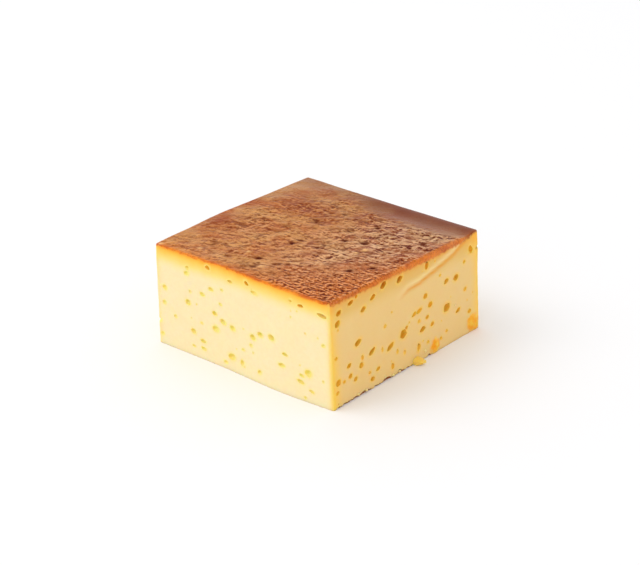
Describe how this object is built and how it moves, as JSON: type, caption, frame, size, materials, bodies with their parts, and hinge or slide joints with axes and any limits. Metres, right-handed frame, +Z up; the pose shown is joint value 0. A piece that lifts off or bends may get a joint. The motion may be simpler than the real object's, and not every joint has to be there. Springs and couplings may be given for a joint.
{
  "type": "caramel flan",
  "caption": "Square block of baked egg custard with a browned skin on top and small open bubbles on its cut sides, for serving on a plate.",
  "frame": {"origin": "middle of the bounding box at the foot that the block rests on", "axes": "+Z up; +X along the paler cut face, from its left end to its right; -Y out of that face; +X also points out of the side with the ragged foot"},
  "size_m": [0.0848, 0.0808, 0.0394],
  "materials": {
    "custard": "soft satin custard with a browned glossy skin"
  },
  "bodies": {
    "root": {"flan": "custard"}
  },
  "joints": []
}
